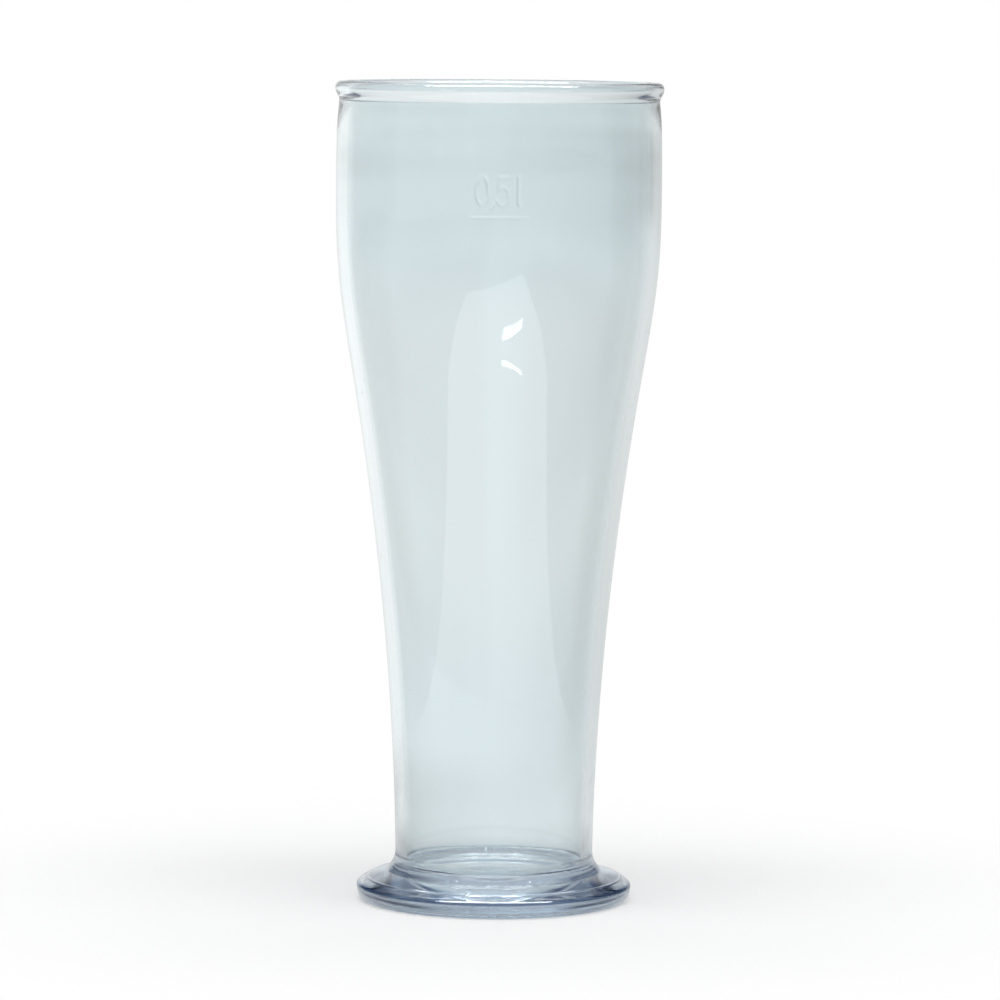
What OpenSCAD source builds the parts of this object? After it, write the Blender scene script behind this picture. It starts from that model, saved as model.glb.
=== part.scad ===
// Wheat beer glass, clear moulded plastic, half a litre to the line.
// The bowl has a full round rim, a slightly barrelled mouth, a long taper and a near straight shank.
// Its base sits in the socket of a separate disc foot and is welded there by a tongue in a groove.
// Millimetres, +Z up, origin on the table at the centre of the foot. The fill line faces -Y.

/* [Overall] */
// Height from the table to the top of the rim
glass_h = 213.5; // [190:0.5:240]

/* [Rim] */
// Diameter over the rim bead
rim_d = 85.2; // [80:0.1:92]
// Radius of the rounded top of the rim
rim_round = 1.7; // [1.2:0.05:2.2]
// Height from the groove under the bead to the top
rim_drop = 5.3; // [4:0.1:8]
// Diameter in the groove under the bead
neck_d = 83.1; // [78:0.1:90]

/* [Bowl outline] */
// Largest diameter of the barrelled mouth
barrel_d = 84.5; // [78:0.1:92]
// Height of the largest diameter
barrel_z = 186; // [170:0.5:200]
// Diameter where the taper is steepest
taper_d = 76.2; // [66:0.1:80]
// Height of that place
taper_z = 140; // [115:0.5:150]
// Steepest slope of the side, radius per height
taper_slope = 0.17; // [0.1:0.005:0.25]
// Diameter of the shank where it enters the foot
shank_d = 51.6; // [46:0.1:58]
// Length of the curve that leaves the mouth downwards
pull_mouth = 17.5; // [10:0.5:24]
// Length of the curve that enters the taper from above
pull_taper_up = 22; // [12:0.5:28]
// Length of the curve that leaves the taper downwards
pull_taper_down = 36; // [15:0.5:45]
// Length of the curve that enters the shank
pull_shank = 48; // [25:0.5:60]

/* [Wall] */
// Wall thickness at the mouth
wall_top = 2.75; // [1.8:0.05:3.2]
// Wall thickness at the shank
wall_base = 2.65; // [2:0.05:3.6]
// Height of the inner floor above the table
floor_z = 7.6; // [7:0.1:12]
// Width of the oval inner corner between wall and floor
corner_w = 2; // [1:0.1:5]
// Height of that corner
corner_h = 3; // [1:0.1:6]

/* [Fill mark] */
// Height of the middle of the fill line
fill_z = 179.8; // [160:0.1:200]
// Length of the line along the wall
fill_len = 14; // [8:0.5:30]
// Height of the line's section
fill_w = 0.9; // [0.5:0.05:1.5]
// How far the line stands out of the wall
fill_proud = 0.25; // [0.1:0.05:0.5]

/* [Foot] */
// Largest diameter of the foot
foot_d = 71.8; // [64:0.1:80]
// Height of that largest diameter
foot_edge_z = 3.6; // [2.4:0.1:5]
// Diameter of the outer edge of the standing ring
stand_d = 68.4; // [60:0.1:74]
// Diameter of the recess at the table, inside the standing ring
recess_d = 62.6; // [56:0.1:66]
// Diameter where the recess reaches its full depth
recess_top_d = 54; // [46:0.1:60]
// Depth of that recess
recess_depth = 1.4; // [0.8:0.1:2.4]
// Diameter where the dome of the foot meets its collar
dome_top_d = 56; // [53:0.1:60]
// Height of that corner
dome_top_z = 7.6; // [6.6:0.1:9]
// Height of the top edge of the collar
collar_z = 12.2; // [11:0.1:15]
// Thickness of the collar at its top edge
collar_lip = 0.25; // [0.2:0.05:0.8]

/* [Weld joint] */
// Height of the face on which the bowl sits in the foot
seat_z = 5.2; // [4.6:0.1:6]
// Gap between the bowl and the wall of its socket
socket_gap = 0.05; // [0.02:0.01:0.15]
// Middle diameter of the tongue and groove
tongue_d = 41.6; // [34:0.1:44]
// Thickness of the tongue
tongue_w = 1.9; // [1:0.1:2.6]
// How far the tongue reaches below the seat
tongue_h = 1.4; // [0.8:0.1:2]
// Height of the melted ring under the tongue
weld_h = 0.6; // [0.3:0.05:0.8]
// Diameter of the gate stub under the floor of the bowl
gate_d = 3; // [2:0.1:5]
// Height of the gate stubs
gate_h = 0.5; // [0.2:0.1:0.8]

/* [Hidden] */
$fn = 180;
steps = 12;
neck_z = glass_h - rim_drop;
rim_cr = rim_d / 2 - rim_round;
rim_cz = glass_h - rim_round;
shank_z = collar_z - 1.1;
groove_w = tongue_w + 2 * socket_gap;
groove_z = seat_z - tongue_h - weld_h;
gate_room = gate_h + 0.3;
clear_tint = [0.78, 0.88, 0.93, 0.55];
foot_tint = [0.70, 0.82, 0.90, 0.6];
weld_tint = [0.86, 0.92, 0.95, 0.8];

// A cubic curve from a to d, pulled towards b and c
function bend(a, b, c, d, t) =
    a * (1 - t) * (1 - t) * (1 - t) + b * 3 * t * (1 - t) * (1 - t)
    + c * 3 * t * t * (1 - t) + d * t * t * t;
function curve(a, b, c, d, from = 0) = [for (i = [from : steps]) bend(a, b, c, d, i / steps)];
// Part of an oval with half axes rx and rz
function oval(cx, cz, rx, rz, a0, a1) =
    [for (i = [0 : steps]) let (a = a0 + (a1 - a0) * i / steps) [cx + rx * cos(a), cz + rz * sin(a)]];

// Wall thickness at a height, growing evenly towards the shank
function wall_at(z) =
    wall_base + (wall_top - wall_base) * (z - shank_z) / (barrel_z - shank_z);

// Outside of the bowl, from the shank up
shank_to_taper = curve(
    [shank_d / 2, shank_z],
    [shank_d / 2 + 0.6, shank_z + pull_shank],
    [taper_d / 2 - taper_slope * pull_taper_down, taper_z - pull_taper_down],
    [taper_d / 2, taper_z]);
taper_to_barrel = curve(
    [taper_d / 2, taper_z],
    [taper_d / 2 + taper_slope * pull_taper_up, taper_z + pull_taper_up],
    [barrel_d / 2, barrel_z - pull_mouth],
    [barrel_d / 2, barrel_z], 1);
barrel_to_neck = curve(
    [barrel_d / 2, barrel_z],
    [barrel_d / 2, barrel_z + 9],
    [neck_d / 2 + 0.65, neck_z - 5],
    [neck_d / 2, neck_z], 1);
under_bead = curve(
    [neck_d / 2, neck_z],
    [neck_d / 2 - 0.1, neck_z + 1.5],
    [rim_d / 2, rim_cz - 1.7],
    [rim_d / 2, rim_cz], 1);
side = concat(shank_to_taper, taper_to_barrel);

// Inside of the bowl, from the rim down
mouth_in = curve(
    [rim_cr - rim_round, rim_cz],
    [rim_cr - rim_round, rim_cz - 6],
    [barrel_d / 2 - wall_top, barrel_z + 8],
    [barrel_d / 2 - wall_top, barrel_z], 1);
side_in = [for (i = [len(side) - 2 : -1 : 1]) [side[i][0] - wall_at(side[i][1]), side[i][1]]];
corner_in = oval(
    shank_d / 2 - wall_base - corner_w, floor_z + corner_h, corner_w, corner_h, 0, -90);

module bowl_section() {
    polygon(concat(
        [[0, seat_z - gate_h], [gate_d / 2, seat_z - gate_h], [gate_d / 2, seat_z]],
        [[tongue_d / 2 - tongue_w / 2, seat_z], [tongue_d / 2 - tongue_w / 2, seat_z - tongue_h]],
        [[tongue_d / 2 + tongue_w / 2, seat_z - tongue_h], [tongue_d / 2 + tongue_w / 2, seat_z]],
        [[shank_d / 2 - 0.6, seat_z], [shank_d / 2, seat_z + 0.6]],
        side, barrel_to_neck, under_bead,
        oval(rim_cr, rim_cz, rim_round, rim_round, 0, 180),
        mouth_in, side_in, corner_in,
        [[0, floor_z]]));
}

// Section of the raised fill line, rooted in the wall
module fill_section() {
    out = barrel_d / 2 + fill_proud;
    polygon([
        [out - 1, fill_z - fill_w / 2],
        [out - fill_proud, fill_z - fill_w / 2],
        [out, fill_z - fill_w / 4],
        [out, fill_z + fill_w / 4],
        [out - fill_proud, fill_z + fill_w / 2],
        [out - 1, fill_z + fill_w / 2]]);
}

module foot_section() {
    socket_r = shank_d / 2 + socket_gap;
    polygon(concat(
        [[0, recess_depth - gate_h], [gate_d / 2, recess_depth - gate_h], [gate_d / 2, recess_depth]],
        [[recess_top_d / 2, recess_depth], [recess_d / 2, 0]],
        curve(
            [stand_d / 2, 0],
            [stand_d / 2 + 1, 0.1],
            [foot_d / 2, foot_edge_z - 1.6],
            [foot_d / 2, foot_edge_z]),
        curve(
            [foot_d / 2, foot_edge_z],
            [foot_d / 2, foot_edge_z + 0.9],
            [foot_d / 2 - 2.4, dome_top_z - 1.4],
            [dome_top_d / 2, dome_top_z], 1),
        curve(
            [dome_top_d / 2, dome_top_z],
            [dome_top_d / 2 - 0.5, dome_top_z + 0.9],
            [socket_r + collar_lip + 0.05, collar_z - 2.3],
            [socket_r + collar_lip, collar_z], 1),
        [[socket_r, collar_z], [socket_r, seat_z]],
        [[tongue_d / 2 + groove_w / 2, seat_z], [tongue_d / 2 + groove_w / 2, groove_z]],
        [[tongue_d / 2 - groove_w / 2, groove_z], [tongue_d / 2 - groove_w / 2, seat_z]],
        [[gate_d / 2 + 2.5, seat_z], [gate_d / 2 + 2.5, seat_z - gate_room]],
        [[0, seat_z - gate_room]]));
}

// Drinking vessel: rim, wall and floor in one moulding, with the fill line on the front
module bowl() {
    span = fill_len / (barrel_d / 2) * 180 / PI;
    color(clear_tint)
    union() {
        rotate_extrude() bowl_section();
        rotate([0, 0, -90 - span / 2])
            rotate_extrude(angle = span) fill_section();
    }
}

// Disc foot: socket with a thin collar, domed top, round edge and standing ring
module foot() {
    color(foot_tint)
    rotate_extrude() foot_section();
}

// Melted ring that joins the tongue of the bowl to the bottom of the groove in the foot
module weld_ring() {
    color(weld_tint)
    rotate_extrude()
        translate([tongue_d / 2 - groove_w / 2, groove_z])
            square([groove_w, weld_h]);
}

bowl();
foot();
weld_ring();
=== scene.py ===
"""Wheat beer glass of clear moulded plastic: finish, capacity mark, floor, light and camera."""

from math import atan2, cos, hypot, pi, radians, sin

import bmesh
import bpy
from mathutils import Matrix, Vector
from mathutils.geometry import interpolate_bezier, intersect_point_line


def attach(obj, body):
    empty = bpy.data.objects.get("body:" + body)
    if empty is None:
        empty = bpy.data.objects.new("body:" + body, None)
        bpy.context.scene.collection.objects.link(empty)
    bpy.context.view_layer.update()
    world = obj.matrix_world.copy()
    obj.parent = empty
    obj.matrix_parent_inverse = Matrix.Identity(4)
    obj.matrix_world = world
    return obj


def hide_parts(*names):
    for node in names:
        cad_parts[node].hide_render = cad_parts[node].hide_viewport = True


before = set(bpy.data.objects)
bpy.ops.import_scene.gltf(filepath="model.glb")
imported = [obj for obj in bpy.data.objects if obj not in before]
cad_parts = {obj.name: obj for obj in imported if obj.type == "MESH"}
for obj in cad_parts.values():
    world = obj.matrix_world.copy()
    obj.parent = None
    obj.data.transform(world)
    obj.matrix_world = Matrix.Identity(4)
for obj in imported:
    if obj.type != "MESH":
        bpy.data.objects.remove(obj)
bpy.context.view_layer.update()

MM = 0.001

# Heights and radii of the glass in millimetres, as its solids have them
GLASS_H = 213.5
RIM_R, RIM_ROUND = 42.6, 1.7
NECK_R, NECK_Z = 41.55, GLASS_H - 5.3
BARREL_R, BARREL_Z = 42.25, 186.0
TAPER_R, TAPER_Z, TAPER_SLOPE = 38.1, 140.0, 0.17
PULL_MOUTH, PULL_TAPER_UP, PULL_TAPER_DOWN, PULL_SHANK = 17.5, 22.0, 36.0, 48.0
SHANK_R, SHANK_Z = 25.8, 11.1
WALL_TOP, WALL_BASE = 2.75, 2.65
FLOOR_Z, CORNER_W, CORNER_H = 7.6, 2.0, 3.0
FOOT_R, FOOT_EDGE_Z = 35.9, 3.6
STAND_R, RECESS_R, RECESS_TOP_R, RECESS_DEPTH = 34.2, 31.3, 27.0, 1.4
DOME_R, DOME_Z = 28.0, 7.6
PART_R, PART_W, PART_RISE = 33.2, 0.5, 0.1
COLLAR_Z, COLLAR_LIP = 12.2, 0.02
SEAT_Z, SOCKET_GAP = 5.2, 0.05
TONGUE_R, TONGUE_W, TONGUE_H = 20.8, 1.9, 1.4
WELD_H = 0.6
GATE_R, GATE_H = 1.5, 0.5

# The capacity mark: a line with characters above it, raised from the front of the wall
MARK_Z = 179.8
MARK_HALF_ANGLE = radians(11.5)
MARK_LOW, MARK_HIGH = MARK_Z - 1.2, MARK_Z + 12.2
MARK_STROKE, MARK_RISE = 0.6, 0.052

# Film of air left between the two mouldings where nothing is melted
FILM = 0.04


# Sections

def at(r, z):
    """A point of a section, r millimetres from the axis and z above the table."""
    return Vector((r * MM, 0.0, z * MM))


def bend(start, pull_a, pull_b, end, count):
    """Points along a cubic curve, without its first point."""
    return interpolate_bezier(at(*start), at(*pull_a), at(*pull_b), at(*end), count + 1)[1:]


def thin_out(points, step):
    """Keeps every step-th point, and all of them behind the capacity mark."""
    last = len(points) - 1
    return [p for i, p in enumerate(points)
            if i % step == step - 1 or i == last or MARK_LOW < p.z / MM < MARK_HIGH]


def side_curves(shank_steps, mouth_steps):
    """Outside of the bowl from the shank to its widest place, as two curves."""
    shank = bend((SHANK_R, SHANK_Z), (SHANK_R + 0.6, SHANK_Z + PULL_SHANK),
                 (TAPER_R - TAPER_SLOPE * PULL_TAPER_DOWN, TAPER_Z - PULL_TAPER_DOWN),
                 (TAPER_R, TAPER_Z), shank_steps)
    mouth = bend((TAPER_R, TAPER_Z), (TAPER_R + TAPER_SLOPE * PULL_TAPER_UP, TAPER_Z + PULL_TAPER_UP),
                 (BARREL_R, BARREL_Z - PULL_MOUTH), (BARREL_R, BARREL_Z), mouth_steps)
    return shank, mouth


def outer_side():
    """Outside of the bowl from the socket to the rim bead."""
    rim_z = GLASS_H - RIM_ROUND
    shank, mouth = side_curves(46, 240)
    neck = bend((BARREL_R, BARREL_Z), (BARREL_R, BARREL_Z + 9),
                (NECK_R + 0.65, NECK_Z - 5), (NECK_R, NECK_Z), 104)
    bead = bend((NECK_R, NECK_Z), (NECK_R - 0.1, NECK_Z + 1.5),
                (RIM_R, rim_z - 1.7), (RIM_R, rim_z), 14)
    return [at(SHANK_R, COLLAR_Z)] + shank[1:] + thin_out(mouth, 8) + thin_out(neck, 8) + bead


def inner_side():
    """Inside of the bowl from the rim down to the corner above the floor."""
    rim_z = GLASS_H - RIM_ROUND
    rim_in = RIM_R - 2 * RIM_ROUND
    mouth_r = BARREL_R - WALL_TOP
    lip = bend((rim_in, rim_z), (rim_in, rim_z - 6), (mouth_r, BARREL_Z + 8), (mouth_r, BARREL_Z), 14)
    shank, mouth = side_curves(44, 28)
    side = []
    for p in reversed(shank + mouth[:-1]):
        z = p.z / MM
        if z > FLOOR_Z + CORNER_H + 0.5:
            wall = WALL_BASE + (WALL_TOP - WALL_BASE) * (z - SHANK_Z) / (BARREL_Z - SHANK_Z)
            side.append(at(p.x / MM - wall, z))
    return lip + side


def round_part(r, z, wide, high, start, end, count):
    """Points along part of an oval in a section, with angles in degrees."""
    turn = [radians(start + (end - start) * i / count) for i in range(count + 1)]
    return [at(r + wide * cos(a), z + high * sin(a)) for a in turn]


def bowl_section():
    tongue_in, tongue_out = TONGUE_R - TONGUE_W / 2, TONGUE_R + TONGUE_W / 2
    tongue_z = SEAT_Z - TONGUE_H
    base = [at(0, SEAT_Z - GATE_H), at(GATE_R, SEAT_Z - GATE_H), at(GATE_R, SEAT_Z),
            at(tongue_in, SEAT_Z), at(tongue_in, tongue_z), at(tongue_out, tongue_z),
            at(tongue_out, SEAT_Z), at(SHANK_R - 0.6, SEAT_Z), at(SHANK_R, SEAT_Z + 0.6)]
    rim = round_part(RIM_R - RIM_ROUND, GLASS_H - RIM_ROUND, RIM_ROUND, RIM_ROUND, 0, 180, 22)[1:]
    corner = round_part(SHANK_R - WALL_BASE - CORNER_W, FLOOR_Z + CORNER_H, CORNER_W, CORNER_H, 0, -90, 14)
    floor = [at(12, FLOOR_Z), at(4, FLOOR_Z), at(0, FLOOR_Z)]
    return base + outer_side() + rim + inner_side() + corner + floor


def parting_line(points):
    """Fine rounded ridge round the dome of the foot, where the halves of its mould met."""
    kept = []
    for i, p in enumerate(points):
        away = abs(p.x / MM - PART_R)
        if away < PART_W:
            rise = PART_RISE * (0.5 + 0.5 * cos(pi * away / PART_W))
            kept.append(p + Vector((0.45, 0.0, 0.89)) * rise * MM)
        elif i % 6 == 5:
            kept.append(p)
    return kept


def foot_section():
    socket = SHANK_R + SOCKET_GAP
    seat = SEAT_Z - FILM
    groove_in, groove_out = TONGUE_R - TONGUE_W / 2 - SOCKET_GAP, TONGUE_R + TONGUE_W / 2 + SOCKET_GAP
    groove_z = SEAT_Z - TONGUE_H - WELD_H
    under = [at(0, RECESS_DEPTH - GATE_H), at(GATE_R, RECESS_DEPTH - GATE_H), at(GATE_R, RECESS_DEPTH),
             at(RECESS_TOP_R, RECESS_DEPTH), at(RECESS_R, 0), at(STAND_R, 0)]
    edge = bend((STAND_R, 0), (STAND_R + 1, 0.1), (FOOT_R, FOOT_EDGE_Z - 1.6), (FOOT_R, FOOT_EDGE_Z), 14)
    dome = parting_line(bend((FOOT_R, FOOT_EDGE_Z), (FOOT_R, FOOT_EDGE_Z + 0.9),
                             (FOOT_R - 2.4, DOME_Z - 1.4), (DOME_R, DOME_Z), 168))
    collar = bend((DOME_R, DOME_Z), (DOME_R - 0.5, DOME_Z + 0.9),
                  (socket + COLLAR_LIP + 0.05, COLLAR_Z - 2.3), (socket + COLLAR_LIP, COLLAR_Z), 20)
    inside = [at(socket, COLLAR_Z), at(socket, seat), at(groove_out, seat), at(groove_out, groove_z),
              at(groove_in, groove_z), at(groove_in, seat), at(GATE_R + 2.5, seat),
              at(GATE_R + 2.5, SEAT_Z - GATE_H - 0.3), at(0, SEAT_Z - GATE_H - 0.3)]
    return under + edge + dome + collar + inside


def weld_section():
    half = TONGUE_W / 2 + SOCKET_GAP - FILM
    low = SEAT_Z - TONGUE_H - WELD_H + FILM
    high = SEAT_Z - TONGUE_H - FILM
    return [at(TONGUE_R - half, low), at(TONGUE_R + half, low),
            at(TONGUE_R + half, high), at(TONGUE_R - half, high)]


# Turned pieces

def turn_section(section, round_off, turns, closed=False):
    """Spins a section about the axis. turns lists (angle in degrees, steps), starting left of the front."""
    bm = bmesh.new()
    chain = [bm.verts.new(p) for p in section]
    for a, b in zip(chain, chain[1:] + chain[:1] if closed else chain[1:]):
        bm.edges.new((a, b))
    sharp = [v for v in bm.verts if len(v.link_edges) == 2 and abs(v.calc_edge_angle(0)) > radians(24)]
    bmesh.ops.bevel(bm, geom=sharp, offset=round_off * MM, offset_type="OFFSET", affect="VERTICES",
                    segments=3, profile=0.5, material=-1, clamp_overlap=True)
    start = radians(-90 - turns[0][0] / 2)
    bmesh.ops.rotate(bm, verts=bm.verts, cent=(0, 0, 0), matrix=Matrix.Rotation(start, 3, "Z"))
    whole = len(turns) == 1
    last = bm.verts[:] + bm.edges[:]
    for angle, steps in turns:
        spun = bmesh.ops.spin(bm, geom=last, cent=(0, 0, 0), axis=(0, 0, 1), angle=radians(angle),
                              steps=steps, use_merge=whole)
        last = spun["geom_last"]
    bmesh.ops.remove_doubles(bm, verts=bm.verts, dist=1e-6)
    bmesh.ops.recalc_face_normals(bm, faces=bm.faces)
    return bm


def is_bowl_joint(r, z):
    """True on the base of the bowl and on the part of its shank inside the collar."""
    return z < SEAT_Z + 0.62 or (r > SHANK_R - 0.1 and z < COLLAR_Z - 0.01)


def is_foot_joint(r, z):
    """True on the socket of the foot, its seat and its groove."""
    return z > SEAT_Z - TONGUE_H - WELD_H - 0.1 and r < SHANK_R + SOCKET_GAP + 0.01


def make_piece(bm, name, node, material, is_joint=None):
    """Stores a finished mesh as the piece that stands for a node. Welded faces get the joint's finish."""
    for face in bm.faces:
        face.smooth = True
        spot = face.calc_center_median() / MM
        if is_joint and is_joint(hypot(spot.x, spot.y), spot.z):
            face.material_index = 1
    mesh = bpy.data.meshes.new(name)
    bm.to_mesh(mesh)
    bm.free()
    mesh.materials.append(material)
    if is_joint:
        mesh.materials.append(welded_faces)
    piece = bpy.data.objects.new(name, mesh)
    bpy.context.scene.collection.objects.link(piece)
    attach(piece, "root")
    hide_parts(node)


# Capacity mark

def oval(u, v, wide, high, start, end, count):
    """Points of an oval stroke on the wall, in millimetres right of the front and above the line."""
    turn = [radians(start + (end - start) * i / count) for i in range(count + 1)]
    return [(u + wide * cos(a), v + high * sin(a)) for a in turn]


def mark_strokes():
    """The line and the strokes of nought, comma, five and litre, each with its share of the full rise."""
    line = [(-7.0, 0.0), (7.0, 0.0)]
    nought = oval(-4.2, 6.9, 1.55, 3.6, 0, 360, 28)
    comma = [(-1.4, 3.5), (-1.45, 3.1), (-1.8, 2.3)]
    five = [(2.5, 10.2), (0.2, 10.2), (-0.1, 6.9)] + oval(0.9, 5.45, 1.6, 2.3, 130, -150, 18)
    litre = [(5.0, 10.5), (5.0, 3.6), (5.35, 3.1), (5.8, 3.2)]
    return [(0.75, line), (1.4, nought), (1.4, comma), (0.8, five), (1.6, litre)]


def raise_mark(bm):
    """Lifts the wall along the strokes of the mark, with a soft shoulder."""
    pairs = [(share, Vector((*a, 0)), Vector((*b, 0)))
             for share, stroke in mark_strokes() for a, b in zip(stroke, stroke[1:])]
    for vert in bm.verts:
        x, y, z = vert.co / MM
        turned = atan2(y, x) + pi / 2
        if not (MARK_LOW < z < MARK_HIGH and abs(turned) < MARK_HALF_ANGLE and hypot(x, y) > BARREL_R - 1):
            continue
        spot = Vector((turned * BARREL_R, z - MARK_Z, 0))
        rise = 0.0
        for share, a, b in pairs:
            along = intersect_point_line(spot, a, b)[1]
            near = a.lerp(b, min(max(along, 0), 1))
            away = min(MARK_STROKE, (spot - near).length)
            rise = max(rise, share * (0.5 + 0.5 * cos(pi * away / MARK_STROKE)))
        out = Vector((x, y, 0)).normalized()
        vert.co += out * rise * MARK_RISE * MM


# Materials

def put(tree, kind, links=(), **values):
    """Adds a node, sets its options and plain inputs, and links the given sockets into it."""
    node = tree.nodes.new(kind)
    for name, value in values.items():
        if hasattr(node, name):
            setattr(node, name, value)
        else:
            node.inputs[name.replace("_", " ")].default_value = value
    for name, source in dict(links).items():
        tree.links.new(source, node.inputs[name])
    return node


def sum_up(tree, operation, first, second):
    """One Math node. Either side is a socket or a plain number."""
    node = put(tree, "ShaderNodeMath", operation=operation)
    for side, value in ((0, first), (1, second)):
        if isinstance(value, (int, float)):
            node.inputs[side].default_value = value
        else:
            tree.links.new(value, node.inputs[side])
    return node.outputs[0]


def fade(tree, value, start, end, low=0.0, high=1.0):
    """A smooth change from low to high as a socket goes from start to end."""
    node = put(tree, "ShaderNodeMapRange", {"Value": value}, interpolation_type="SMOOTHSTEP")
    for name, number in (("From Min", start), ("From Max", end), ("To Min", low), ("To Max", high)):
        node.inputs[name].default_value = number
    return node.outputs[0]


def new_group(name, inputs, outputs):
    """An empty shader group with named number inputs and outputs."""
    tree = bpy.data.node_groups.new(name, "ShaderNodeTree")
    for label, value in inputs:
        socket = tree.interface.new_socket(label, in_out="INPUT", socket_type="NodeSocketFloat")
        socket.default_value = value
    for label in outputs:
        tree.interface.new_socket(label, in_out="OUTPUT", socket_type="NodeSocketFloat")
    return tree, tree.nodes.new("NodeGroupInput"), tree.nodes.new("NodeGroupOutput")


def per_metre(tree, size):
    """Texture scale for a pattern whose size is given in millimetres."""
    return sum_up(tree, "DIVIDE", 1.0 / MM, size)


def round_marks_group():
    """Marks that run round the axis: fine turning rings, and long shallow ripples of the wall."""
    tree, given, out = new_group(
        "Round marks", [("Ring size", 0.4), ("Ripple size", 6.0)], ["Rings", "Ripples"])
    place = put(tree, "ShaderNodeTexCoord")
    split = put(tree, "ShaderNodeSeparateXYZ", {"Vector": place.outputs["Object"]})
    flat = put(tree, "ShaderNodeCombineXYZ", {"X": split.outputs["X"], "Y": split.outputs["Y"]})
    radius = put(tree, "ShaderNodeVectorMath", {0: flat.outputs[0]}, operation="LENGTH")
    angle = sum_up(tree, "ARCTAN2", split.outputs["Y"], split.outputs["X"])
    along = sum_up(tree, "MULTIPLY", angle, 0.004)
    ring_place = put(tree, "ShaderNodeCombineXYZ", {
        "X": radius.outputs["Value"], "Y": along, "Z": split.outputs["Z"]})
    rings = put(tree, "ShaderNodeTexNoise", {
        "Vector": ring_place.outputs[0], "Scale": per_metre(tree, given.outputs["Ring size"])},
        Detail=3.0, Roughness=0.6)
    upright = sum_up(tree, "MULTIPLY", split.outputs["Z"], 0.12)
    ripple_place = put(tree, "ShaderNodeCombineXYZ", {
        "X": split.outputs["X"], "Y": split.outputs["Y"], "Z": upright})
    ripples = put(tree, "ShaderNodeTexNoise", {
        "Vector": ripple_place.outputs[0], "Scale": per_metre(tree, given.outputs["Ripple size"])},
        Detail=1.0, Roughness=0.4)
    tree.links.new(rings.outputs["Fac"], out.inputs["Rings"])
    tree.links.new(ripples.outputs["Fac"], out.inputs["Ripples"])
    return tree


def handling_wear_group():
    """Wear of a washed and handled glass: sparse specks and short upright hairlines in patches."""
    tree, given, out = new_group(
        "Handling wear", [("Speck size", 5.0), ("Hairline size", 1.2)], ["Specks", "Hairlines"])
    place = put(tree, "ShaderNodeTexCoord")
    cells = put(tree, "ShaderNodeTexVoronoi", {
        "Vector": place.outputs["Object"], "Scale": per_metre(tree, given.outputs["Speck size"])})
    specks = fade(tree, cells.outputs["Distance"], 0.07, 0.02)
    split = put(tree, "ShaderNodeSeparateXYZ", {"Vector": place.outputs["Object"]})
    upright = sum_up(tree, "MULTIPLY", split.outputs["Z"], 0.05)
    long_place = put(tree, "ShaderNodeCombineXYZ", {
        "X": split.outputs["X"], "Y": split.outputs["Y"], "Z": upright})
    grain = put(tree, "ShaderNodeTexNoise", {
        "Vector": long_place.outputs[0], "Scale": per_metre(tree, given.outputs["Hairline size"])},
        Detail=1.0, Roughness=0.5)
    patch = put(tree, "ShaderNodeTexNoise", {"Vector": place.outputs["Object"]}, Scale=45.0, Detail=1.0)
    lines = fade(tree, grain.outputs["Fac"], 0.66, 0.74)
    worn = fade(tree, patch.outputs["Fac"], 0.52, 0.66)
    tree.links.new(specks, out.inputs["Specks"])
    tree.links.new(sum_up(tree, "MULTIPLY", lines, worn), out.inputs["Hairlines"])
    return tree


def weighted(tree, parts):
    """Adds up sockets, each times its weight."""
    total = 0.0
    for socket, weight in parts:
        total = sum_up(tree, "ADD", sum_up(tree, "MULTIPLY", socket, weight), total)
    return total


def by_height(tree, height, stops):
    """Colours or greys that change with the height: stops lists (millimetres, colour) upwards."""
    top = stops[-1][0]
    ramp = put(tree, "ShaderNodeValToRGB", {"Fac": sum_up(tree, "DIVIDE", height, top * MM)})
    elements = ramp.color_ramp.elements
    for _ in stops[2:]:
        elements.new(0.5)
    for element, (level, colour) in zip(elements, stops):
        element.position = level / top
        element.color = (*colour, 1.0)
    return ramp.outputs["Color"]


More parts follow.
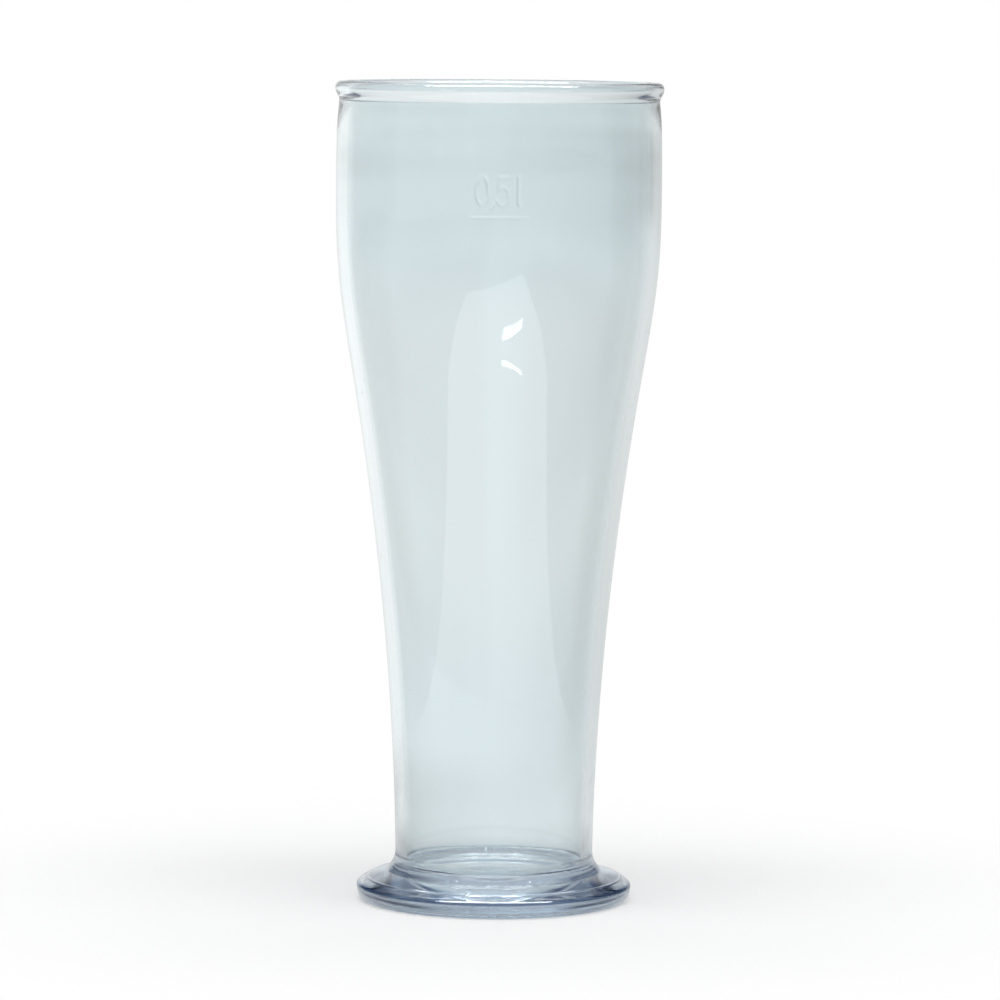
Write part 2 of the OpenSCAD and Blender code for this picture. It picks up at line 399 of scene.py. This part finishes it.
def clear_plastic(name, tint, rough, rings, ripples, specks, hairlines, ring_size=0.5, ripple_size=9.0,
                  scuff=None, tint_and_shade_by_height=None):
    """Clear moulding: bent light, a tint per wall, and wear that dulls and dents the surface.

    scuff lists (height, amount) upwards: how much the surface is rubbed round the axis. The last argument
    lists (height, tint) upwards: the colour by height outside the socket. In the foot it is partly the deeper
    colour of its plastic and partly painted shade, with a painted dark line along the fold of the edge; in
    the bowl it changes a little with height, darkest below the rim bead."""
    material = bpy.data.materials.new(name)
    material.use_nodes = True
    tree = material.node_tree
    tree.nodes.clear()
    out = put(tree, "ShaderNodeOutputMaterial")
    marks = put(tree, "ShaderNodeGroup", node_tree=ROUND_MARKS)
    marks.inputs["Ring size"].default_value = ring_size
    marks.inputs["Ripple size"].default_value = ripple_size
    wear = put(tree, "ShaderNodeGroup", node_tree=HANDLING_WEAR)
    dull = weighted(tree, [(wear.outputs["Specks"], specks), (wear.outputs["Hairlines"], hairlines),
                           (marks.outputs["Rings"], rings)])
    roughness = sum_up(tree, "ADD", dull, rough)
    place = put(tree, "ShaderNodeTexCoord")
    split = put(tree, "ShaderNodeSeparateXYZ", {"Vector": place.outputs["Object"]})
    height = weighted(tree, [(marks.outputs["Ripples"], ripples), (wear.outputs["Specks"], SPECK_RISE)])
    if scuff:
        rubbed = by_height(tree, split.outputs["Z"], [(level, (share,) * 3) for level, share in scuff])
        worn = sum_up(tree, "MULTIPLY", rubbed, fade(tree, marks.outputs["Rings"], 0.35, 0.65, 0.3, 1.0))
        roughness = sum_up(tree, "ADD", roughness, worn)
        grooves = sum_up(tree, "MULTIPLY", rubbed, marks.outputs["Rings"])
        height = weighted(tree, [(grooves, GROOVES), (height, 1.0)])
    bump = put(tree, "ShaderNodeBump", {"Height": height}, Strength=1.0, Distance=MM)
    shader = put(tree, "ShaderNodeBsdfPrincipled",
                 {"Roughness": roughness, "Normal": bump.outputs["Normal"]}, IOR=PLASTIC_IOR)
    shader.inputs["Base Color"].default_value = (*tint, 1.0)
    if tint_and_shade_by_height:
        flat = put(tree, "ShaderNodeCombineXYZ", {"X": split.outputs["X"], "Y": split.outputs["Y"]})
        radius = put(tree, "ShaderNodeVectorMath", {0: flat.outputs[0]}, operation="LENGTH").outputs["Value"]
        outside = fade(tree, radius, OUTSIDE_FROM * MM, OUTSIDE_TO * MM)
        mix = put(tree, "ShaderNodeMix", {0: outside}, data_type="RGBA")
        mix.inputs[6].default_value = (*tint, 1.0)
        tree.links.new(by_height(tree, split.outputs["Z"], tint_and_shade_by_height), mix.inputs[7])
        tree.links.new(mix.outputs[2], shader.inputs["Base Color"])
    shader.inputs["Transmission Weight"].default_value = 1.0
    tree.links.new(shader.outputs["BSDF"], out.inputs["Surface"])
    return material


def melted_joint():
    """Faces that the weld has melted together: nothing shows there."""
    material = bpy.data.materials.new("welded faces")
    material.use_nodes = True
    shader = material.node_tree.nodes["Principled BSDF"]
    shader.inputs["Base Color"].default_value = (*WELD_TINT, 1.0)
    shader.inputs["Alpha"].default_value = 0.0
    return material


ROUND_MARKS = round_marks_group()
HANDLING_WEAR = handling_wear_group()

# Bending of light, height of the specks and of the rubbed grooves in millimetres
PLASTIC_IOR, SPECK_RISE, GROOVES = 1.57, 0.01, 0.12
# Radii in millimetres between which the colours by height set in, just outside the socket
OUTSIDE_FROM, OUTSIDE_TO = 24.0, 27.0
# Tints of one surface, from the bowl's parts to the foot, the thickest part. The foot's side tint is partly
# the deeper colour of its plastic and partly painted shade; its fold tint is a painted dark line.
BOWL_TINT = (0.885, 0.940, 0.952)
SHANK_TINT = (0.885, 0.940, 0.957)
TAPER_TINT = (0.901, 0.946, 0.952)
BARREL_TINT = (0.870, 0.931, 0.944)
MOUTH_TINT = (0.844, 0.904, 0.915)
DOME_TINT = (0.71, 0.82, 0.93)
SIDE_TINT_AND_SHADE = (0.42, 0.53, 0.64)
FOLD_PAINTED_SHADE = (0.08, 0.14, 0.28)
WELD_TINT = (0.9, 0.94, 0.96)
BOWL_BY_HEIGHT = [(0.0, SHANK_TINT), (50.0, SHANK_TINT), (90.0, TAPER_TINT), (150.0, TAPER_TINT),
                  (172.0, BARREL_TINT), (196.0, BARREL_TINT), (204.0, MOUTH_TINT), (208.5, MOUTH_TINT),
                  (210.5, BOWL_TINT), (GLASS_H, BOWL_TINT)]
# The foot by height: painted shade on its side band, and a painted dark line along the fold between side and
# dome
FOOT_BY_HEIGHT = [(0.0, SIDE_TINT_AND_SHADE), (3.4, SIDE_TINT_AND_SHADE), (3.8, FOLD_PAINTED_SHADE), (4.4, FOLD_PAINTED_SHADE),
                  (4.9, DOME_TINT), (8.5, DOME_TINT), (11.5, BOWL_TINT)]
FOOT_SCUFF = [(0.1, 0.0), (0.5, 0.12), (3.0, 0.12), (3.7, 0.0), (4.4, 0.0), (5.2, 0.03),
              (7.2, 0.03), (7.8, 0.0), (9.0, 0.0)]

bowl_clear = clear_plastic("bowl clear plastic", BOWL_TINT, 0.008,
                           rings=0.0, ripples=0.006, specks=0.2, hairlines=0.08, tint_and_shade_by_height=BOWL_BY_HEIGHT)
foot_clear = clear_plastic("foot clear plastic", BOWL_TINT, 0.004,
                           rings=0.008, ripples=0.008, specks=0.2, hairlines=0.1,
                           scuff=FOOT_SCUFF, tint_and_shade_by_height=FOOT_BY_HEIGHT)
weld_clear = clear_plastic("melted ring plastic", WELD_TINT, 0.25,
                           rings=0.1, ripples=0.01, specks=0.1, hairlines=0.0,
                           ring_size=0.3, ripple_size=2.0)
weld_clear.node_tree.nodes["Principled BSDF"].inputs["Alpha"].default_value = 0.15
welded_faces = melted_joint()

# The front behind the capacity mark is turned in finer steps than the rest
FRONT = 2 * MARK_HALF_ANGLE * 180 / pi
# Rounding of the sharp corners in millimetres
ROUND_OFF, WELD_ROUND_OFF = 0.15, 0.08

bowl_mesh = turn_section(bowl_section(), ROUND_OFF, [(FRONT, 92), (360 - FRONT, 150)])
raise_mark(bowl_mesh)
make_piece(bowl_mesh, "bowl_clear", "bowl", bowl_clear, is_bowl_joint)
foot_mesh = turn_section(foot_section(), ROUND_OFF, [(360, 200)])
make_piece(foot_mesh, "foot_disc", "foot", foot_clear, is_foot_joint)
weld_mesh = turn_section(weld_section(), WELD_ROUND_OFF, [(360, 120)], closed=True)
make_piece(weld_mesh, "weld_bead", "weld_ring", weld_clear)


# Floor, world and lamps

def shade_ramp(tree, across, levels):
    """How bright the studio is from left (-1) to right (1), as the clear walls show it: greys or colours."""
    share = sum_up(tree, "ADD", sum_up(tree, "MULTIPLY", across, 0.5), 0.5)
    ramp = put(tree, "ShaderNodeValToRGB", {"Fac": share})
    stops = ramp.color_ramp.elements
    for place, level in levels[1:-1]:
        stops.new(0.5 + 0.5 * place)
    for stop, (place, level) in zip(stops, levels):
        stop.position = 0.5 + 0.5 * place
        stop.color = (*level, 1.0) if isinstance(level, tuple) else (level, level, level, 1.0)
    return ramp.outputs["Color"]


def blend(tree, share, first, second):
    """Goes from the first value to the second as the share goes from 0 to 1."""
    node = put(tree, "ShaderNodeMix", data_type="FLOAT")
    for side, value in ((0, share), (2, first), (3, second)):
        if isinstance(value, (int, float)):
            node.inputs[side].default_value = value
        else:
            tree.links.new(value, node.inputs[side])
    return node.outputs[0]


def pale_floor():
    """Wide white floor: lit normally near the glass, so that it keeps the shadow, and plain white far off, as
    the camera sees it. To the clear walls it glows with painted studio light and shade: a painted shadow of
    the glass behind it, and a painted reflection of a bright board in front.
    """
    bm = bmesh.new()
    bmesh.ops.create_circle(bm, cap_ends=True, segments=96, radius=FLOOR_RADIUS)
    mesh = bpy.data.meshes.new("floor")
    bm.to_mesh(mesh)
    bm.free()
    floor = bpy.data.objects.new("floor", mesh)
    bpy.context.scene.collection.objects.link(floor)
    material = bpy.data.materials.new("pale floor")
    material.use_nodes = True
    tree = material.node_tree
    tree.nodes.clear()
    out = put(tree, "ShaderNodeOutputMaterial")
    place = put(tree, "ShaderNodeTexCoord")
    split = put(tree, "ShaderNodeSeparateXYZ", {"Vector": place.outputs["Object"]})
    far = put(tree, "ShaderNodeVectorMath", {0: place.outputs["Object"]}, operation="LENGTH").outputs["Value"]
    across = sum_up(tree, "DIVIDE", split.outputs["X"], sum_up(tree, "ADD", far, 0.05))
    # Painted studio light and shade behind the glass, with a painted shadow of the glass close to it
    near = blend(tree, fade(tree, far, *CLOSE_TO_NEAR), shade_ramp(tree, across, CLOSE_LEVELS),
                 shade_ramp(tree, across, NEAR_LEVELS))
    middle = sum_up(tree, "MULTIPLY", shade_ramp(tree, across, MIDDLE_LEVELS), fade(tree, far, *MIDDLE_PAINTED_SHADE))
    distant = sum_up(tree, "MULTIPLY", shade_ramp(tree, across, DISTANT_LEVELS),
                     fade(tree, far, *DISTANT_PAINTED_SHADE))
    beyond = blend(tree, fade(tree, far, *MIDDLE_TO_DISTANT), middle, distant)
    behind = blend(tree, fade(tree, far, *NEAR_TO_MIDDLE), near, beyond)
    aside = sum_up(tree, "ABSOLUTE", split.outputs["X"], 0.0)
    slant = sum_up(tree, "MULTIPLY", split.outputs["X"], BOARD_SLANT)
    front_edge = sum_up(tree, "ADD", split.outputs["Y"], slant)
    on_board = sum_up(tree, "MULTIPLY", fade(tree, aside, *BOARD_SIDE), fade(tree, front_edge, *BOARD_FRONT))
    path = put(tree, "ShaderNodeLightPath")
    # Painted reflection in front: a glowing board and darker floor, seen only by the glass
    in_front = blend(tree, path.outputs["Is Transmission Ray"], blend(tree, on_board, FLOOR_FRONT, BOARD),
                     blend(tree, on_board, FLOOR_THROUGH, BOARD_THROUGH))
    level = blend(tree, fade(tree, split.outputs["Y"], *BACK_TO_FRONT), behind, in_front)
    studio = put(tree, "ShaderNodeEmission", {"Strength": level})
    studio.inputs["Color"].default_value = (*STUDIO_TONE, 1.0)
    white = put(tree, "ShaderNodeEmission", Strength=1.0)
    white.inputs["Color"].default_value = (1.0, 1.0, 1.0, 1.0)
    by_glass = sum_up(tree, "MAXIMUM", path.outputs["Is Glossy Ray"], path.outputs["Is Transmission Ray"])
    glow = put(tree, "ShaderNodeMixShader", {
        0: path.outputs["Is Camera Ray"], 1: studio.outputs[0], 2: white.outputs[0]})
    matt = put(tree, "ShaderNodeBsdfDiffuse")
    matt.inputs["Color"].default_value = (*FLOOR_TONE, 1.0)
    to_camera = sum_up(tree, "MULTIPLY", path.outputs["Is Camera Ray"], fade(tree, far, *CAMERA_GLOW))
    to_glass = sum_up(tree, "MULTIPLY", by_glass, fade(tree, far, *GLASS_GLOW))
    share = sum_up(tree, "MAXIMUM", to_camera, to_glass)
    both = put(tree, "ShaderNodeMixShader", {0: share, 1: matt.outputs[0], 2: glow.outputs[0]})
    tree.links.new(both.outputs[0], out.inputs["Surface"])
    mesh.materials.append(material)


def studio_world():
    """White to the camera, an even grey to the floor, and the studio's levels to the clear walls."""
    world = bpy.data.worlds.new("studio")
    bpy.context.scene.world = world
    world.use_nodes = True
    tree = world.node_tree
    tree.nodes.clear()
    out = put(tree, "ShaderNodeOutputWorld")
    place = put(tree, "ShaderNodeTexCoord")
    split = put(tree, "ShaderNodeSeparateXYZ", {"Vector": place.outputs["Generated"]})
    right, back, up = (split.outputs[axis] for axis in "XYZ")
    round_about = sum_up(tree, "MULTIPLY", shade_ramp(tree, right, DISTANT_LEVELS),
                         fade(tree, back, -0.3, 0.6, FRONT_LEVEL, 1.0))
    low = fade(tree, up, *SKY_EDGE, 1.0, 0.0)
    aside = sum_up(tree, "ABSOLUTE", right, 0.0)
    cloth = sum_up(tree, "MULTIPLY", fade(tree, aside, *CLOTH_SIDE, 1.0, 0.0), fade(tree, back, *CLOTH_BACK))
    cloth = sum_up(tree, "MULTIPLY", cloth, fade(tree, up, *CLOTH_TOP, 1.0, 0.0))
    level = sum_up(tree, "MULTIPLY", round_about, fade(tree, up, 0.01, 0.1, 1.0, CLOTH))
    wall = put(tree, "ShaderNodeBackground", {"Strength": level})
    wall.inputs["Color"].default_value = (*STUDIO_TONE, 1.0)
    dusk = put(tree, "ShaderNodeBackground", {"Color": shade_ramp(tree, right, SKY_LEVELS)}, Strength=1.0)
    studio = put(tree, "ShaderNodeMixShader", {
        0: sum_up(tree, "MAXIMUM", low, cloth), 1: dusk.outputs[0], 2: wall.outputs[0]})
    white = put(tree, "ShaderNodeBackground", Strength=1.0)
    white.inputs["Color"].default_value = (1.0, 1.0, 1.0, 1.0)
    even = put(tree, "ShaderNodeBackground", Strength=EVEN_LIGHT)
    even.inputs["Color"].default_value = (1.0, 1.0, 1.0, 1.0)
    path = put(tree, "ShaderNodeLightPath")
    by_glass = sum_up(tree, "MAXIMUM", path.outputs["Is Glossy Ray"], path.outputs["Is Transmission Ray"])
    lit = put(tree, "ShaderNodeMixShader", {0: by_glass, 1: even.outputs[0], 2: studio.outputs[0]})
    seen = put(tree, "ShaderNodeMixShader", {
        0: path.outputs["Is Camera Ray"], 1: lit.outputs[0], 2: white.outputs[0]})
    tree.links.new(seen.outputs[0], out.inputs["Surface"])


def softbox(name, place, aim, wide, high, brightness, on_floor=True, roll=0.0):
    """Rectangular lamp whose surface has the given brightness, where 1 is white. One that isn't on the
    floor only shows as a mirror image in the glass."""
    data = bpy.data.lights.new(name, "AREA")
    data.shape = "RECTANGLE"
    data.size, data.size_y = wide, high
    data.energy = brightness * wide * high * pi
    lamp = bpy.data.objects.new(name, data)
    lamp.location = place
    turned = (Vector(aim) - Vector(place)).to_track_quat("-Z", "Y").to_matrix()
    lamp.rotation_euler = (turned @ Matrix.Rotation(radians(roll), 3, "Z")).to_euler()
    lamp.visible_camera = False
    lamp.visible_diffuse = on_floor
    bpy.context.scene.collection.objects.link(lamp)


# Painted light and shade in the floor's glow, as the clear walls see the studio behind the glass: its
# brightness from the left (-1) to the right (1), at four distances.
# Close to the glass the levels paint the glass's own shadow, darker to the sides and in dips either side of
# the middle.
CLOSE_LEVELS = [(-1.0, 0.2), (-0.55, 0.2), (-0.3, 0.5), (0.0, 0.76), (0.2, 0.68), (0.34, 0.5),
                (0.6, 0.25), (1.0, 0.25)]
NEAR_LEVELS = [(-1.0, 1.2), (-0.78, 0.95), (-0.66, 0.7), (-0.5, 0.78), (-0.3, 0.5), (0.0, 0.76), (0.2, 0.68),
               (0.34, 0.55), (0.5, 0.68), (0.7, 0.65), (0.85, 0.85), (1.0, 0.9)]
MIDDLE_LEVELS = [(-1.0, 0.6), (-0.8, 0.75), (-0.68, 1.06), (-0.55, 0.98), (-0.36, 1.08), (-0.33, 0.92),
                 (0.0, 0.93), (0.1, 0.82), (0.24, 0.68), (0.4, 0.79), (0.8, 0.78), (1.0, 0.55)]
DISTANT_LEVELS = [(-1.0, 0.85), (-0.78, 0.8), (-0.68, 1.02), (-0.55, 0.94), (-0.29, 1.04), (-0.26, 0.88),
                  (0.0, 0.85), (0.1, 0.7), (0.22, 0.59), (0.42, 0.72), (0.56, 0.64), (0.7, 0.5), (1.0, 0.55)]
# Metres from the axis between which one distance gives way to the next, and where painted shade makes the
# floor's glow a bit darker, at middle distance and at the far end
CLOSE_TO_NEAR, NEAR_TO_MIDDLE, MIDDLE_TO_DISTANT = (0.09, 0.15), (0.17, 0.3), (2.5, 5.0)
MIDDLE_PAINTED_SHADE, DISTANT_PAINTED_SHADE = (0.5, 1.1, 0.93, 1.0), (6.0, 11.0, 1.0, 0.91)
BACK_TO_FRONT = (0.04, -0.06)
# Metres over which the floor's own glow takes over from the lamps, for the camera and for the glass
CAMERA_GLOW, GLASS_GLOW = (0.05, 0.2, 0.4, 1.0), (0.06, 0.4, 0.5, 1.0)
FLOOR_RADIUS, FLOOR_TONE = 40.0, (0.88, 0.885, 0.89)
STUDIO_TONE = (0.98, 0.995, 1.0)
# In front, the glass mirrors the board on which it stands, the darker floor round it and the room. This is a
# painted reflection: board and floor glow only for the glass, and the board is brighter than white.
# Looked at through the glass, board and floor are nearly the same
BOARD, FLOOR_FRONT, FRONT_LEVEL = 1.8, 0.74, 0.95
BOARD_THROUGH, FLOOR_THROUGH = 0.9, 0.87
BOARD_SIDE, BOARD_FRONT, BOARD_SLANT = (0.242, 0.236), (-0.70, -0.68), 0.45
EVEN_LIGHT = 0.4
# A bright cloth hangs behind the glass, higher than the horizon: its brightness, sides, place and top
CLOTH = 1.1
CLOTH_SIDE, CLOTH_BACK, CLOTH_TOP = (0.22, 0.5), (0.0, 0.3), (0.36, 0.5)
# Above the horizon the studio is dark
SKY_EDGE = (0.05, 0.16)
NAVY, GREY_BLUE = (0.006, 0.02, 0.08), (0.25, 0.33, 0.44)
SKY_LEVELS = [(-1.0, NAVY), (-0.5, NAVY), (-0.32, GREY_BLUE), (0.12, GREY_BLUE), (0.28, NAVY), (1.0, NAVY)]

pale_floor()
studio_world()
softbox("overhead_front", (0.0, -0.24, 1.25), (0.0, 0.0, 0.05), 1.4, 0.4, 6.0)
softbox("overhead_tube", (0.0, -0.1, 1.23), (0.0, 0.0, 0.05), 1.4, 0.16, 24.0, on_floor=False)
softbox("overhead_back", (0.0, 0.35, 1.2), (0.0, 0.0, 0.05), 1.25, 0.15, 4.0)
softbox("strip_by_camera", (-0.30, -1.36, 0.52), (0.0, 0.0, 0.14), 0.42, 0.0045, 25.0, roll=2.5)


# Camera

# Place in metres, tilt and roll, and the focal length as a share of the frame's width
CAMERA_BACK, CAMERA_UP, CAMERA_SIDE = 1.3923, 0.2329, 0.0009
CAMERA_DOWN, CAMERA_ROLL = radians(5.26), radians(0.46)
FOCAL_SHARE, SENSOR = 5.363, 36.0

camera_data = bpy.data.cameras.new("camera")
camera_data.sensor_width = SENSOR
camera_data.lens = SENSOR * FOCAL_SHARE
camera_data.clip_end = 200.0
camera = bpy.data.objects.new("camera", camera_data)
tilt = Matrix.Rotation(pi / 2 - CAMERA_DOWN, 4, "X") @ Matrix.Rotation(CAMERA_ROLL, 4, "Z")
camera.matrix_world = Matrix.Translation((CAMERA_SIDE, -CAMERA_BACK, CAMERA_UP)) @ tilt
bpy.context.scene.collection.objects.link(camera)
bpy.context.scene.camera = camera

scene = bpy.context.scene
scene.view_settings.view_transform = "Standard"
# Light crosses many clear faces in the foot before it leaves the glass
scene.cycles.max_bounces = 96
scene.cycles.transmission_bounces = 96
scene.cycles.glossy_bounces = 64
scene.cycles.transparent_max_bounces = 24
